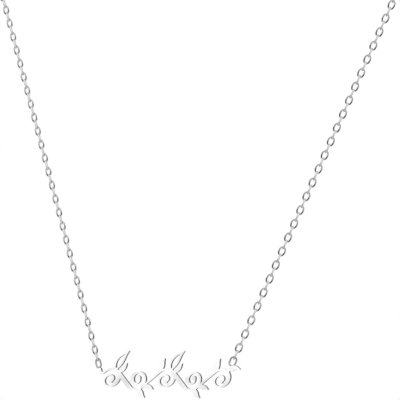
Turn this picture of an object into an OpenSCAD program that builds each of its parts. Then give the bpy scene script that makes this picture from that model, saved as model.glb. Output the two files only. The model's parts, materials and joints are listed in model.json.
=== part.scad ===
// Nameplate necklace in its worn shape: a pierced vine-scroll plate with two
// soldered oval rings, two runs of cable chain, a ring clasp and its end ring.
// Millimetres, +Z up, -Y to the front, origin at the nape where the loop sits.

/* [Plate] */
// Thickness of the plate
plate_t = 1.0; // [0.8:0.1:1.6]
// Height of the row of curls, over the strokes
band_h = 5.6; // [5.2:0.1:6.4]
// Distance from one curl's centre to the next
bay_d = 6.75; // [6.6:0.05:8]
// Pairs of curls that stand before the last one
curl_pairs = 2; // [1:1:3]
// Width of a stroke where it runs down
thick_w = 1.2; // [0.9:0.05:1.4]
// Width of a stroke where it runs up
thin_w = 0.5; // [0.4:0.05:0.7]
// Lean of the ornament from upright, in degrees
slant = 12; // [0:1:16]
// Wall of an open leaf
leaf_wall = 0.45; // [0.35:0.05:0.6]

/* [End rings of the plate] */
// Outer length of a soldered oval ring, along the chain
ring_l = 2.6; // [2.4:0.1:3]
// Its outer width
ring_w = 1.8; // [1.7:0.1:2.2]
// Diameter of its wire
ring_wire = 0.4; // [0.3:0.05:0.5]
// How deep the solder joins a ring to the plate
solder_bite = 0.15; // [0.1:0.05:0.3]

/* [Chain] */
// Diameter of a link's wire
wire_d = 0.4; // [0.3:0.02:0.42]
// Outer width of a link
link_w = 1.8; // [1.7:0.05:2.1]
// Distance from one link's centre to the next, as near as the loop allows
link_pitch = 1.8; // [1.7:0.02:2.4]
// Clearance along the chain between two links that pull on each other
link_gap = 0.2; // [0.16:0.01:0.24]
// How far a link of the left straight run is turned from its neighbours, in degrees
left_twist = 58; // [57:1:90]
// How far a link of the right straight run is turned from its neighbours, in degrees
right_twist = 85; // [57:1:90]

/* [Clasp] */
// Outer diameter of the clasp's ring
clasp_d = 6.0; // [5:0.25:8]
// Diameter of its wire
clasp_wire = 1.1; // [0.9:0.1:1.4]
// Outer diameter of the eye on the clasp
eye_d = 2.4; // [2:0.1:3]
// Diameter of the eye's wire
eye_wire = 0.5; // [0.4:0.05:0.6]
// Outer diameter of the end ring on the other chain
end_d = 3.4; // [3.2:0.1:4.4]
// Diameter of the end ring's wire
end_wire = 0.6; // [0.5:0.05:0.7]

/* [Worn shape] */
// Length of each chain's straight run, from its ring on the plate
straight_l = 95; // [80:1:120]
// Lean of the straight runs outwards, in degrees
lean_out = 20.5; // [15:0.1:25]
// Lean of the straight runs back, in degrees
lean_back = 17; // [10:0.5:25]
// How far the rings and the links of the straight runs face outwards, in degrees
face_turn = 23; // [0:1:30]
// How far the nape lies above the top of the straight runs
nape_up = 36; // [25:1:50]
// How far the nape lies behind the top of the straight runs
nape_back = 75; // [60:1:90]

/* [Hidden] */
$fn = 32;
silver = "gainsboro";

// How far the route runs on beyond a straight run, and along the nape, before it turns
side_reach = 40;
nape_reach = 38;
// Samples along each straight run, and along each half of the hidden stretch
run_n = 20;
route_n = 120;
// Half the stretch of route that gives a link its direction
link_reach = 0.5;
// An oval's straight sides are a whole number of these long, so that they meet its ends exactly
fine = 0.001;

// Ornament: one stem winds over and under a row of circles, with a curl inside each
curls = 2 * curl_pairs + 1;
curl_r = (band_h - (thick_w + thin_w) / 2) / 2;
leave_a = 90 - asin(2 * curl_r / bay_d);
hook_r = 0.32 * curl_r;
hook_turn = 185;
curl_turn = 480;
lead_turn = 20;
core_share = 0.2;
bud_d = 0.85 * thick_w;
start_share = 0.7;
tip_w = 0.16;
slit_tip = 0.03;
// Pieces in an arc of the stem, in a curl and in a leaf
arc_n = 12;
curl_n = 48;
leaf_n = 18;
// Where along the last leaf the right ring stands, of leaf_n
seat_k = 6;

// Columns of the leaf tables: angle on the circle where a leaf grows, the way it
// points, how far it bends, its length as a share of band_h, its width as a share
// of thick_w
l_at = 0;
l_way = 1;
l_bend = 2;
l_len = 3;
l_wide = 4;
crest_leaves = [
    [64, 84, -44, 0.93, 1.60],
    [44, 28, 45, 0.50, 0.90],
];
trough_leaves = [
    [-64, -78, 50, 0.49, 0.85],
    [-44, 6, -40, 0.49, 0.85],
];
bud_leaf = [118, 112, -50, 0.52, 0.90];
last_leaf = [62, 42, -70, 0.62, 1.00];
open_from = 1.5 * thick_w;

function crest(i) = i % 2 == 0;
function curl_c(i) = [i * bay_d, band_h / 2];
function on_circle(i, a) = curl_c(i) + curl_r * [cos(a), sin(a)];
function leaned(p) = [p.x + tan(slant) * (p.y - band_h / 2), p.y];
function reversed(v) = [for (k = [len(v) - 1:-1:0]) v[k]];

// Width of a stroke by its heading: wide where it runs down, narrow elsewhere
function nib(way) = thin_w + (thick_w - thin_w) * pow(max(0, -sin(way)), 1.4);

// A path is a list of [x, y, heading]
function arc_path(c, r, a0, a1) = [for (k = [0:arc_n])
    let (a = a0 + (a1 - a0) * k / arc_n)
    [c.x + r * cos(a), c.y + r * sin(a), a + 90 * sign(a1 - a0)]];
function curl_path(i) = [for (k = [0:curl_n])
    let (s = crest(i) ? 1 : -1,
         a = s * (leave_a + lead_turn - curl_turn * k / curl_n),
         r = curl_r * (1 - (1 - core_share) * pow(k / curl_n, 0.8)))
    [curl_c(i).x + r * cos(a), curl_c(i).y + r * sin(a), a - 90 * s]];
function leaf_path(i, row) = [for (k = [0:leaf_n])
    let (p = on_circle(i, row[l_at]), way = row[l_way], bend = row[l_bend] * k / leaf_n,
         r = row[l_len] * band_h / (row[l_bend] * PI / 180))
    [p.x + r * (sin(way + bend) - sin(way)), p.y - r * (cos(way + bend) - cos(way)), way + bend]];
function side_of(path, half, s) = [for (k = [0:len(path) - 1])
    let (p = path[k])
    leaned([p.x - s * half[k] * sin(p[2]), p.y + s * half[k] * cos(p[2])])];

hook_c = curl_c(0) + (curl_r + hook_r) * [cos(180 - leave_a), sin(180 - leave_a)];
hook = arc_path(hook_c, hook_r, -hook_turn, -leave_a);
function stem_arc(i) = crest(i)
    ? arc_path(curl_c(i), curl_r, 180 - leave_a, leave_a)
    : arc_path(curl_c(i), curl_r, 180 + leave_a, 360 - leave_a);
stem = concat([for (k = [0:len(hook) - 2]) hook[k]],
    [for (i = [0:curls - 1]) each stem_arc(i)]);

// Half the width of a leaf along its length: a slim neck, a full middle, a fine tip
function leaf_half(t, w) =
    (tip_w + 0.3 * thin_w * (1 - t) + (w - tip_w) * pow(sin(180 * pow(t, 0.8)), 1.2)) / 2;

module ribbon(path, half) {
    polygon(concat(side_of(path, half, 1), reversed(side_of(path, half, -1))));
}

module stroke(path, share) {
    last = len(path) - 1;
    ribbon(path, [for (k = [0:last]) nib(path[k][2]) * lookup(k / last, share) / 2]);
}

module curl(i) {
    path = curl_path(i);
    stroke(path, [[0, 0.85], [0.5, 0.85], [1, 0.7]]);
    end = path[len(path) - 1];
    translate(leaned(end)) circle(d = bud_d);
}

module leaf(i, row) {
    w = row[l_wide] * thick_w;
    path = leaf_path(i, row);
    half = [for (k = [0:leaf_n]) leaf_half(k / leaf_n, w)];
    difference() {
        ribbon(path, half);
        if (w > open_from) {
            open = [for (k = [0:leaf_n]) if (half[k] > leaf_wall) k];
            ribbon([for (k = open) path[k]], [for (k = open) half[k] - leaf_wall + slit_tip]);
        }
    }
}

module ornament() {
    stroke(stem, [[0, start_share], [0.06, 1], [1, 1]]);
    translate(left_seat) circle(d = cap_d);
    for (i = [0:curls - 1]) {
        curl(i);
        if (i == curls - 1) leaf(i, last_leaf);
        else for (row = crest(i) ? crest_leaves : trough_leaves) leaf(i, row);
        if (crest(i) && i > 0) leaf(i, bud_leaf);
    }
}

// Directions of the straight runs, up from the rings: side is -1 on the left, 1 on the right
run_v = [tan(lean_out), tan(lean_back), 1];
run_u = run_v / norm(run_v);
function run_dir(side) = [side * run_u.x, run_u.y, run_u.z];

// The rings stand on the stem's round first end and on the last leaf, in the plate's own frame
seat_up = ring_l / 2 - solder_bite;
left_seat = leaned(hook[0]);
cap_d = start_share * nib(hook[0][2]);
seat_half = leaf_half(seat_k / leaf_n, last_leaf[l_wide] * thick_w);
right_seat = side_of([leaf_path(curls - 1, last_leaf)[seat_k]], [seat_half], 1)[0];
function ring_c(side) = let (p = side < 0 ? left_seat : right_seat, d = run_dir(side),
        up = seat_up + (side < 0 ? cap_d / 2 : 0))
    [p.x + up * d.x, up * d.y, p.y + up * d.z];

// Where the plate's own frame lies in the necklace
plate_x = -(ring_c(-1).x + ring_c(1).x) / 2;
plate_y = -(nape_back + straight_l * run_u.y + (ring_c(-1).y + ring_c(1).y) / 2);
plate_z = -(nape_up + straight_l * run_u.z + (ring_c(-1).z + ring_c(1).z) / 2);
function ring_at(side) = ring_c(side) + [plate_x, plate_y, plate_z];

// Route of each chain from its ring to the nape: a straight run, then one bend
function bend_p(side, t) = let (
    a = ring_at(side) + straight_l * run_dir(side),
    b = a + side_reach * run_dir(side),
    c = [side * nape_reach, 0, 0])
    pow(1 - t, 3) * a + 3 * pow(1 - t, 2) * t * b + 3 * (1 - t) * t * t * c;
function half_route(side) = concat(
    [for (k = [0:run_n - 1]) ring_at(side) + straight_l * k / run_n * run_dir(side)],
    [for (k = [0:route_n]) bend_p(side, k / route_n)]);
route = concat(half_route(-1), [for (k = [route_n + run_n - 1:-1:0]) half_route(1)[k]]);
function run_lengths(v, k = 0, sum = 0) = k >= len(v) ? [] :
    concat([sum], run_lengths(v, k + 1, sum + (k + 1 < len(v) ? norm(v[k + 1] - v[k]) : 0)));
route_s = run_lengths(route);
last_s = route_s[len(route_s) - 1];
route_x = [for (k = [0:len(route) - 1]) [route_s[k], route[k].x]];
route_y = [for (k = [0:len(route) - 1]) [route_s[k], route[k].y]];
route_z = [for (k = [0:len(route) - 1]) [route_s[k], route[k].z]];
function route_p(s) = [lookup(s, route_x), lookup(s, route_y), lookup(s, route_z)];

// Which way the links face, as a turn from the front towards the left, all round the loop
bend_l = last_s / 2 - straight_l;
function facing(s) = s <= straight_l ? face_turn
    : s >= last_s - straight_l ? 360 - face_turn
    : face_turn + (360 - 2 * face_turn) * (s - straight_l) / (2 * bend_l);

// How far neighbouring links are turned from each other: as set on a straight run, more from
// two links before the bend, and square where the chain has bent round to the back
function twist(s) = lookup(min(s, last_s - s), [
    [straight_l - 2 * link_pitch, 2 * s < last_s ? left_twist : right_twist],
    [straight_l + side_reach, 90]]);

// Places a child on the chord of the route that runs to reach before and after s: its X
// along the chord, its Z facing out from the neck
module on_route(s, turn = 0, reach = link_reach) {
    d = route_p(s + reach) - route_p(s - reach);
    x = d / norm(d);
    out = [-sin(facing(s)), -cos(facing(s)), 0];
    z0 = out - (out * x) * x;
    z = z0 / norm(z0);
    y = cross(z, x);
    p = (route_p(s + reach) + route_p(s - reach)) / 2;
    multmatrix([
        [x.x, y.x, z.x, p.x],
        [x.y, y.y, z.y, p.y],
        [x.z, y.z, z.z, p.z],
        [0, 0, 0, 1]]) rotate([turn, 0, 0]) children();
}

// Lengths along the route: what the rings and the clasp take, and the links between
function hole(l, wire) = (l - link_gap) / 2 - wire;
clasp_mid = (clasp_d - clasp_wire) / 2;
eye_mid = (eye_d - eye_wire) / 2;
end_mid = (end_d - end_wire) / 2;
clasp_l = eye_mid + 2 * clasp_mid + end_mid - (clasp_wire + end_wire) / 2 - link_gap;
ring_hole = hole(ring_l, ring_wire);
end_hole = hole(end_d, end_wire);
fixed_l = 2 * ring_hole + hole(eye_d, eye_wire) + end_hole + clasp_l;
links = 2 * round((last_s - fixed_l) / link_pitch / 2) + 1;
left_n = 2 * round((links - clasp_l / link_pitch) / 4 + clasp_l / link_pitch / 4);
right_n = links - left_n;
step = (last_s - fixed_l) / links;
link_l = step + 2 * wire_d + link_gap;
left_s = ring_hole + step / 2;
end_s = left_s + (left_n - 0.5) * step + end_hole;
clasp_s = end_s + end_mid + clasp_mid - (clasp_wire + end_wire) / 2 - link_gap;
right_s = last_s - left_s;

// An oval of wire: two round ends joined by straight sides, lying flat with its length along X
module oval(l, w, wire) {
    bow = (w - wire) / 2;
    flat = fine * round((l - w) / 2 / fine);
    for (half_turn = [0, 180]) rotate([0, 0, half_turn]) {
        translate([flat, 0]) rotate([0, 0, -90])
            rotate_extrude(angle = 180) translate([bow, 0]) circle(d = wire);
        translate([-flat, bow]) rotate([0, 90, 0]) cylinder(d = wire, h = 2 * flat);
    }
}

module wire_ring(d, wire) {
    rotate_extrude() translate([(d - wire) / 2, 0]) circle(d = wire);
}

module soldered_ring(side) {
    d = run_dir(side);
    out = [side * sin(face_turn), -cos(face_turn), 0];
    z0 = out - (out * d) * d;
    z = z0 / norm(z0);
    y = cross(z, d);
    p = ring_at(side);
    multmatrix([
        [d.x, y.x, z.x, p.x],
        [d.y, y.y, z.y, p.y],
        [d.z, y.z, z.z, p.z],
        [0, 0, 0, 1]]) oval(ring_l, ring_w, ring_wire);
}

module nameplate() {
    color(silver) {
        translate([plate_x, plate_y, plate_z]) rotate([90, 0, 0])
            linear_extrude(plate_t, center = true) ornament();
        soldered_ring(-1);
        soldered_ring(1);
    }
}

// The links that start at s1 and follow each other by ds, every other one turned
module chain(s1, ds, n) {
    color(silver) for (i = [0:n - 1])
        let (s = s1 + i * ds)
            on_route(s, i % 2 == 0 ? -twist(s) : 0) oval(link_l, link_w, wire_d);
}

module chain_left() {
    chain(left_s, step, left_n);
}

module chain_right() {
    chain(right_s, -step, right_n);
}

module clasp() {
    color(silver) on_route(clasp_s + eye_mid, 0, clasp_mid + eye_mid) {
        translate([-eye_mid, 0]) wire_ring(clasp_d, clasp_wire);
        translate([clasp_mid, 0]) wire_ring(eye_d, eye_wire);
    }
}

module end_ring() {
    color(silver) on_route(end_s, 90) wire_ring(end_d, end_wire);
}

nameplate();
chain_left();
chain_right();
clasp();
end_ring();

echo(loop_length = last_s + ring_at(1).x - ring_at(-1).x, links = links);
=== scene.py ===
import json
import math

import bpy
import numpy as np
from mathutils import Matrix, Vector

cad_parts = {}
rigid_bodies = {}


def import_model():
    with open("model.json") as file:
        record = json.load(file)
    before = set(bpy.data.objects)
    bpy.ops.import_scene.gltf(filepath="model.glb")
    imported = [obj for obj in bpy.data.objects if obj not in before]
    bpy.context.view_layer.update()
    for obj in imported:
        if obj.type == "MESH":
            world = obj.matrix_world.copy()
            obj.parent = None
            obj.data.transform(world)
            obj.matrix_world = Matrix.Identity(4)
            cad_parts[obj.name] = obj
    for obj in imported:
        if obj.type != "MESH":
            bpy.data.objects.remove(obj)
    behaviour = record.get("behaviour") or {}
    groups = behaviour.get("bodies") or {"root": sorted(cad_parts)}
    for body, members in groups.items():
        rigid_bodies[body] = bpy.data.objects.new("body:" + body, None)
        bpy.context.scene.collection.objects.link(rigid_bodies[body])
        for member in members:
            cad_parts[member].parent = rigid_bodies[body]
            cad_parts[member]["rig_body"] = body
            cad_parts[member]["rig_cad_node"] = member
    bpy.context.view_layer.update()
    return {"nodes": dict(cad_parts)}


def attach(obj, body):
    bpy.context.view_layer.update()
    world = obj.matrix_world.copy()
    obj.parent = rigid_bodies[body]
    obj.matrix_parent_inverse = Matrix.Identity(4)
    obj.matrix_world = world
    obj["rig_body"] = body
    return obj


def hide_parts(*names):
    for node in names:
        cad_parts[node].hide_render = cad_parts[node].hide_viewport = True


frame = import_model()


class Shade:
    # A shader socket that Python arithmetic works on

    def __init__(self, tree, socket=None):
        self.tree, self.socket = tree, socket

    def node(self, kind, settings=None, inputs=None, output=0):
        made = self.tree.nodes.new("ShaderNode" + kind)
        for name, value in (settings or {}).items():
            if name == "stops":
                self.setStops(made.color_ramp.elements, value)
            else:
                setattr(made, name, value)
        for name, value in (inputs or {}).items():
            if isinstance(value, Shade):
                self.tree.links.new(value.socket, made.inputs[name])
            else:
                made.inputs[name].default_value = value
        return Shade(self.tree, made.outputs[output])

    def setStops(self, elements, stops):
        while len(elements) < len(stops):
            elements.new(0.5)
        for element, (place, colour) in zip(elements, stops):
            element.position, element.color = place, colour

    def math(self, operation, first, second):
        return self.node("Math", {"operation": operation}, {0: first, 1: second})

    def __add__(self, other):
        return self.math("ADD", self, other)

    def __sub__(self, other):
        return self.math("SUBTRACT", self, other)

    def __rsub__(self, other):
        return self.math("SUBTRACT", other, self)

    def __mul__(self, other):
        return self.math("MULTIPLY", self, other)

    def stretch(self, low, high, newLow=0.0, newHigh=1.0):
        return self.node("MapRange", {"interpolation_type": "SMOOTHSTEP"},
                         {"Value": self, "From Min": low, "From Max": high,
                          "To Min": newLow, "To Max": newHigh})

    def ramp(self, stops):
        stops = [(place, (level, level, level, 1)) for place, level in stops]
        return self.node("ValToRGB", {"stops": stops}, {0: self})

    def mix(self, first, second):
        return self.node("Mix", {"data_type": "RGBA"}, {0: self, 6: first, 7: second}, output=2)


def newMaterial(name):
    material = bpy.data.materials.new(name)
    material.use_nodes = True
    tree = material.node_tree
    shader = next(n for n in tree.nodes if n.type == "BSDF_PRINCIPLED")
    return material, tree, shader


def feed(tree, shader, name, value):
    tree.links.new(value.socket, shader.inputs[name])


def noise(tree, scale, detail=3.0, stretchBy=(1, 1, 1)):
    shade = Shade(tree)
    place = shade.node("TexCoord", output=3)
    place = shade.node("Mapping", inputs={"Vector": place, "Scale": stretchBy})
    return shade.node("TexNoise", inputs={"Vector": place, "Scale": scale, "Detail": detail})


noiseReach = {"clouds": (0.3, 0.7), "grain": (0.3, 0.75)}     # how much of a noise's range is used


def metal(name, look):
    material, tree, shader = newMaterial(name)
    shader.inputs["Metallic"].default_value = 1.0
    tone = noise(tree, look["cloudScale"]).stretch(*noiseReach["clouds"])
    grain = noise(tree, look["grainScale"], detail=2.0, stretchBy=look["grainStretch"])
    if "flatLinkShade" in look:
        # painted shade and highlight down each link: darker toward its lower end, where the next link
        # crosses, and bright again at the very bottom, set apart for links that lie flat and links that
        # stand on edge; the random cloud tone is laid over it
        hang, standing = [Shade(tree).node("Attribute", {"attribute_name": name}, output=2)
                          for name in ("hang", "standing")]
        flat, edge = [hang.ramp(look[name]) for name in ("flatLinkShade", "edgeLinkShade")]
        place = Shade(tree).node("TexCoord", output=3)
        # painted shade across the necklace: the left chain lighter, the right chain darker
        across = place.node("SeparateXYZ", inputs={0: place}).stretch(*look["sideShade"])
        tone = (flat + standing * (edge - flat)) * (1 - tone * look["patchy"]) * across
    feed(tree, shader, "Base Color", tone.mix(look["bright"], look["dull"]))
    feed(tree, shader, "Roughness", grain.stretch(*noiseReach["grain"], look["smooth"], look["rough"]))
    bump = Shade(tree).node("Bump", inputs={"Height": grain, "Strength": look["relief"],
                                             "Distance": look["reliefDepth"]})
    feed(tree, shader, "Normal", bump)
    return material


polish = {
    "bright": (0.93, 0.93, 0.935, 1), "dull": (0.7, 0.7, 0.71, 1),
    "cloudScale": 260, "grainScale": 9000, "grainStretch": (1, 1, 0.12),
    "smooth": 0.10, "rough": 0.2, "relief": 0.12, "reliefDepth": 0.00001,
}
# the plate's walls: rougher and grained like a cut edge, with the base colour darkened as painted shade
cutEdgeWithShade = {
    "bright": (0.36, 0.36, 0.36, 1), "dull": (0.2, 0.2, 0.2, 1),
    "cloudScale": 900, "grainScale": 12000, "grainStretch": (1, 0.06, 1),
    "smooth": 0.3, "rough": 0.45, "relief": 0.35, "reliefDepth": 0.00002,
}
drawnWire = {
    "bright": (0.92, 0.92, 0.93, 1), "dull": (0.08, 0.08, 0.085, 1), "patchy": 0.15,
    # painted shade and highlight by place down a link, for flat links and for links standing on edge
    "flatLinkShade": [(0.0, 0.4), (0.25, 0.45), (0.5, 0.6), (0.68, 1.0), (0.83, 1.0), (0.92, 0.0)],
    "edgeLinkShade": [(0.0, 0.12), (0.5, 0.18), (0.75, 0.38), (0.9, 0.12)],
    "sideShade": (-0.04, 0.04, 0.97, 1.35),    # painted shade from the left side to the right one: less, then more
    "cloudScale": 700, "grainScale": 9000, "grainStretch": (1, 1, 1),
    "smooth": 0.14, "rough": 0.28, "relief": 0.1, "reliefDepth": 0.00001,
}
solderedRing = {
    "bright": (0.5, 0.5, 0.51, 1), "dull": (0.25, 0.25, 0.26, 1),
    "cloudScale": 1400, "grainScale": 9000, "grainStretch": (1, 1, 1),
    "smooth": 0.16, "rough": 0.3, "relief": 0.12, "reliefDepth": 0.00001,
}
castFitting = {
    "bright": (0.88, 0.88, 0.89, 1), "dull": (0.72, 0.72, 0.73, 1),
    "cloudScale": 700, "grainScale": 6000, "grainStretch": (1, 1, 1),
    "smooth": 0.16, "rough": 0.3, "relief": 0.15, "reliefDepth": 0.00001,
}
plateFace = metal("polished silver", polish)
plateWall = metal("cut edge of the plate with painted shade", cutEdgeWithShade)
ringSilver = metal("soldered ring", solderedRing)
wireSilver = metal("drawn silver wire", drawnWire)
castSilver = metal("cast silver fitting", castFitting)
print("materials made")


def only(piece):
    if bpy.context.mode != "OBJECT":
        bpy.ops.object.mode_set(mode="OBJECT")
    bpy.ops.object.select_all(action="DESELECT")
    piece.select_set(True)
    bpy.context.view_layer.objects.active = piece


def nameIt(piece, name, *materials):
    piece.name = piece.data.name = name
    piece.data.materials.clear()
    for material in materials:
        piece.data.materials.append(material)
    return piece


def applyModifier(piece, kind, **settings):
    only(piece)
    modifier = piece.modifiers.new(kind.lower(), kind)
    for name, value in settings.items():
        setattr(modifier, name, value)
    bpy.ops.object.modifier_apply(modifier=modifier.name)


def pointsOf(mesh):
    points = np.empty(len(mesh.vertices) * 3, np.float32)
    mesh.vertices.foreach_get("co", points)
    return points.reshape(-1, 3).astype(float)


stepsPerMetre = 1e7         # corners that round to the same step are one corner


def solidsOf(nodeName):
    # The points of each solid in a node, found by following the triangles that share corners
    mesh = frame["nodes"][nodeName].data
    points = pointsOf(mesh)
    corners = np.empty(len(mesh.loops), np.int32)
    mesh.loops.foreach_get("vertex_index", corners)
    steps = np.round(points * stepsPerMetre).astype(np.int64)
    same = np.unique(steps, axis=0, return_inverse=True)[1].ravel()
    triangles = same[corners].reshape(-1, 3)
    label = np.arange(same.max() + 1)
    while True:
        before = label.copy()
        low = label[triangles].min(axis=1)
        for corner in range(3):
            np.minimum.at(label, triangles[:, corner], low)
        label = label[label]
        if (label == before).all():
            break
    solid = label[same]
    order, first = np.unique(solid, return_index=True)
    return [points[solid == name] for name in order[np.argsort(first)]]


def poseOf(points, ahead):
    # Middle, axes from longest to shortest, and the size along each
    axes = np.linalg.svd(points - points.mean(axis=0), full_matrices=False)[2]
    if axes[0] @ ahead < 0:
        axes[0] = -axes[0]
    axes[1] = np.cross(axes[2], axes[0])
    along = points @ axes.T
    middle = (along.min(axis=0) + along.max(axis=0)) / 2 @ axes
    pose = Matrix.Translation(Vector(middle)) @ Matrix(axes.T.tolist()).to_4x4()
    return pose, along.max(axis=0) - along.min(axis=0)


linkMake = {
    "play": 0.00002,        # slack left between two links that pull on each other
    "widestAt": 0.1,        # how far above its middle a link is widest, in half lengths
    "full": 0.62,           # pull of the handles: 0.55 is a true oval, more is squarer
    "cageRatio": 1.37,      # a square cage this much wider than the wire smooths down to the wire
    "cageStretch": 1.035,   # and the oval is drawn this much larger than it ends up
    "cageSides": 3,         # spans of the cage in each quarter of the oval
}


def makeLink(length, width, wire):
    bpy.ops.object.select_all(action="DESELECT")
    bpy.ops.curve.primitive_bezier_circle_add(radius=1)
    link = bpy.context.active_object
    up, full = linkMake["widestAt"], linkMake["full"]
    for point in link.data.splines[0].bezier_points:
        point.handle_left_type = point.handle_right_type = "FREE"
        atSide = abs(point.co.y) > 0.5
        if atSide:
            point.co.x = up
        for handle in (point.handle_left, point.handle_right):
            if atSide:
                reach = 1 - up if handle.x > 0 else 1 + up
                handle.x, handle.y = up + math.copysign(full * reach, handle.x), point.co.y
            else:
                handle.x, handle.y = point.co.x, math.copysign(full, handle.y)
    bpy.ops.object.mode_set(mode="EDIT")
    bpy.ops.curve.select_all(action="SELECT")
    stretch = linkMake["cageStretch"] / 2
    bpy.ops.transform.resize(value=((length - wire) * stretch, (width - wire) * stretch, 1))
    bpy.ops.object.mode_set(mode="OBJECT")
    link.data.resolution_u = linkMake["cageSides"]
    link.data.bevel_resolution = 0
    link.data.bevel_depth = wire / 2 * linkMake["cageRatio"]
    only(link)
    bpy.ops.object.convert(target="MESH")
    return bpy.context.active_object


def makeChain(nodeName, name):
    solids = solidsOf(nodeName)
    middles = [points.mean(axis=0) for points in solids]
    poses = []
    for k, points in enumerate(solids):
        ahead = middles[min(k + 1, len(middles) - 1)] - middles[max(k - 1, 0)]
        poses.append(poseOf(points, ahead))
    width, wire = np.median([size[1:] for pose, size in poses], axis=0)
    step = np.median([np.linalg.norm(b - a) for a, b in zip(middles, middles[1:])])
    length = step + 2 * wire + linkMake["play"]
    link = makeLink(length, width, wire)
    hang = link.data.attributes.new("hang", "FLOAT", "POINT")
    for vertex in link.data.vertices:
        hang.data[vertex.index].value = 0.5 - vertex.co.x / length
    link.data.attributes.new("standing", "FLOAT", "POINT")
    copies = []
    for k, (pose, _) in enumerate(poses):
        copied = link.copy()
        copied.data = link.data.copy()
        standing = [(k + 1) % 2] * len(copied.data.vertices)
        copied.data.attributes["standing"].data.foreach_set("value", standing)
        copied.data.transform(pose)
        bpy.context.scene.collection.objects.link(copied)
        copies.append(copied)
    bpy.data.objects.remove(link)
    only(copies[0])
    for copied in copies:
        copied.select_set(True)
    bpy.ops.object.join()
    chain = nameIt(bpy.context.active_object, name, wireSilver)
    only(chain)
    bpy.ops.object.shade_smooth()
    smooth = chain.modifiers.new("smooth wire", "SUBSURF")
    smooth.levels = smooth.render_levels = 1
    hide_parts(nodeName)
    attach(chain, "root")
    print(f"{name}: {len(copies)} links of {length * 1000:.2f} by {width * 1000:.2f} mm")


plateMake = {
    "mergeWithin": 2e-6,
    "flatWithin": math.radians(0.5),
    "edgeRound": 0.00006,
    "edgeSteps": 2,
    "edgeFrom": math.radians(50),
    "roundFrom": 0.05,      # a face leaning this much off both the plate's face and its wall is a ring's
    "ringLength": 0.0026,   # of each soldered oval ring, along its chain
    "straightLinks": 9,     # the first links of a chain that give its direction
    "solderReach": 0.00003, # how far past a ring's wire its solder shows
    "faceOn": 0.99,         # a face that looks this nearly forwards or back is the plate's own
    "smoothBelow": math.radians(35),
    "faceWeight": 80,       # how strongly the flat faces hold their normals beside the rounded edges
}


def copyOf(nodeName):
    copied = frame["nodes"][nodeName].copy()
    copied.data = copied.data.copy()
    bpy.context.scene.collection.objects.link(copied)
    copied.parent = None
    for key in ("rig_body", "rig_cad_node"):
        del copied[key]
    return copied


def ringFaces(mesh, side, chainName):
    # Faces within the wire of the oval ring on one side, which is in line with its chain
    middles = [points.mean(axis=0) for points in solidsOf(chainName)[:plateMake["straightLinks"]]]
    up = middles[-1] - middles[0]
    up /= np.linalg.norm(up)
    normals = np.array([face.normal for face in mesh.polygons])
    centres = np.array([face.center for face in mesh.polygons])
    lean = abs(normals[:, 1])
    curved = (lean > plateMake["roundFrom"]) & (lean < 1 - plateMake["roundFrom"])
    own = centres[curved & (centres[:, 0] * side > 0)]
    start = own.mean(axis=0)
    out = np.linalg.svd(own - start, full_matrices=False)[2][2]
    out -= (out @ up) * up
    out /= np.linalg.norm(out)
    axes = np.array([up, np.cross(out, up), out]).T
    placed = (own - start) @ axes
    low, high = placed.min(axis=0), placed.max(axis=0)
    width, wire = (high - low)[1:]
    radius = (width - wire) / 2
    middle = np.array([high[0] - plateMake["ringLength"] / 2, *(low + high)[1:] / 2])
    along, across, depth = abs((centres - start) @ axes - middle).T
    beyond = (along - (plateMake["ringLength"] - width) / 2).clip(0)
    print(f"ring: {width * 1000:.2f} mm wide, wire {wire * 1000:.2f}")
    return np.hypot(np.hypot(beyond, across) - radius, depth) < wire / 2 + plateMake["solderReach"]


def makePlate():
    plate = copyOf("nameplate")
    only(plate)
    bpy.ops.mesh.customdata_custom_splitnormals_clear()
    bpy.ops.object.mode_set(mode="EDIT")
    bpy.ops.mesh.select_all(action="SELECT")
    bpy.ops.mesh.remove_doubles(threshold=plateMake["mergeWithin"])
    bpy.ops.mesh.dissolve_limited(angle_limit=plateMake["flatWithin"])
    bpy.ops.object.mode_set(mode="OBJECT")
    nameIt(plate, "scrollPlate", plateFace, plateWall, ringSilver)
    print("plate cleaned to", len(plate.data.polygons), "faces")
    rings = ringFaces(plate.data, -1, "chain_left") | ringFaces(plate.data, 1, "chain_right")
    for face, inRing in zip(plate.data.polygons, rings):
        face.material_index = 2 if inRing else 0 if abs(face.normal.y) > plateMake["faceOn"] else 1
    applyModifier(plate, "BEVEL", width=plateMake["edgeRound"], segments=plateMake["edgeSteps"],
                  limit_method="ANGLE", angle_limit=plateMake["edgeFrom"], use_clamp_overlap=True)
    bpy.ops.object.shade_smooth_by_angle(angle=plateMake["smoothBelow"])
    applyModifier(plate, "WEIGHTED_NORMAL", keep_sharp=True, weight=plateMake["faceWeight"])
    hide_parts("nameplate")
    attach(plate, "root")
    print("scrollPlate:", len(plate.data.polygons), "faces")


def dressFittings():
    for nodeName in ("clasp", "end_ring"):
        node = frame["nodes"][nodeName]
        node.data.materials.clear()
        node.data.materials.append(castSilver)


makePlate()
makeChain("chain_left", "chainLeft")
makeChain("chain_right", "chainRight")
dressFittings()


studio = {
    "floorHeight": -0.17,
    "floorRadius": 0.7,
    "floorSides": 96,
    "floorTones": ((0.9, 0.9, 0.9, 1), (0.86, 0.86, 0.86, 1)),
    "floorMottle": 30,
    "floorRough": 0.9,
    "keyWay": (-0.292, -0.956, 0.05),      # the big soft light that the plate's face mirrors
    "keyCore": 0.985,
    "keyEdge": 0.88,
    "keyGlow": 1.08,
    # glow of the room by height, from straight below to straight above
    "room": [(0.0, 0.7), (0.42, 0.8), (0.55, 0.95), (0.75, 1.0), (1.0, 1.05)],
    "front": Vector((0.292, -0.956, 0)),   # where the camera stands
    "behindFrom": (-0.6, -0.1),            # how far round from the front the room behind begins
    "dimBehind": 0.3,
    # a dark card stands behind at the necklace's height and draws the edges of the wire
    "cardHeight": (0.03, 0.12),             # where it fades out, as squared heights
    "cardDark": 0.8,
    "fill": 1.05,                           # even light on the floor
}


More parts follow.
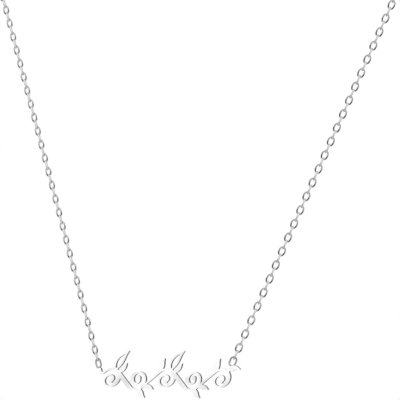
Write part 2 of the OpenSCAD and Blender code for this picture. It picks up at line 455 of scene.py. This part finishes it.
def makeStudio():
    bpy.ops.object.select_all(action="DESELECT")
    bpy.ops.mesh.primitive_circle_add(vertices=studio["floorSides"], radius=studio["floorRadius"],
                                      fill_type="NGON", location=(0, 0, studio["floorHeight"]))
    floor = bpy.context.active_object
    bpy.ops.object.transform_apply()
    material, tree, shader = newMaterial("pale floor")
    feed(tree, shader, "Base Color", noise(tree, studio["floorMottle"]).mix(*studio["floorTones"]))
    shader.inputs["Roughness"].default_value = studio["floorRough"]
    nameIt(floor, "floor", material)
    floor.visible_glossy = False            # the silver mirrors the room below, not the floor
    world = bpy.data.worlds.new("studio")
    bpy.context.scene.world = world
    world.use_nodes = True
    tree = world.node_tree
    tree.nodes.clear()
    shade = Shade(tree)
    way = shade.node("TexCoord", output=0)
    toKey = shade.node("VectorMath", {"operation": "DOT_PRODUCT"},
                       {0: way, 1: Vector(studio["keyWay"]).normalized()}, output=1)
    height = shade.node("SeparateXYZ", inputs={0: way}, output=2)
    ahead = shade.node("VectorMath", {"operation": "DOT_PRODUCT"},
                       {0: way, 1: studio["front"]}, output=1)
    behind = ahead.stretch(*studio["behindFrom"], 1, 0)
    card = behind * (height * height).stretch(*studio["cardHeight"], 1, 0)
    room = (height * 0.5 + 0.5).ramp(studio["room"]) * (1 - behind * studio["dimBehind"])
    room = room * (1 - card * studio["cardDark"])
    light = toKey.stretch(studio["keyEdge"], studio["keyCore"])
    glow = light * studio["keyGlow"] + (1 - light) * room
    seen, diffuse = shade.node("LightPath", output=0), shade.node("LightPath", output=2)
    strength = seen + diffuse * studio["fill"] + (1 - seen - diffuse) * glow
    lamp = shade.node("Background", inputs={"Color": (1, 1, 1, 1), "Strength": strength})
    out = tree.nodes.new("ShaderNodeOutputWorld")
    tree.links.new(lamp.socket, out.inputs["Surface"])
    bpy.context.scene.view_settings.view_transform = "Standard"


cameraPlace = {
    "azimuth": math.radians(17),
    "distance": 2.0,
    "frameWidth": 0.0942,
    "across": -0.02151,      # middle of the picture, to the right of the nape
    "height": -0.08353,
    "depth": -0.085,         # where the picture's scale is measured
    "seenFrom": 0.1,         # nearest and farthest that the camera shows
    "seenTo": 20,
}


def makeCamera():
    turn = cameraPlace["azimuth"]
    right = Vector((math.cos(turn), math.sin(turn), 0))
    away = Vector((-math.sin(turn), math.cos(turn), 0))
    aim = right * cameraPlace["across"] + away * cameraPlace["depth"]
    aim.z = cameraPlace["height"]
    bpy.ops.object.camera_add(location=aim - away * cameraPlace["distance"],
                              rotation=(math.pi / 2, 0, turn))
    camera = bpy.context.active_object
    camera.data.lens = camera.data.sensor_width * cameraPlace["distance"] / cameraPlace["frameWidth"]
    camera.data.clip_start, camera.data.clip_end = cameraPlace["seenFrom"], cameraPlace["seenTo"]
    bpy.context.scene.camera = camera


makeStudio()
makeCamera()
print("studio and camera made")
bpy.context.view_layer.update()
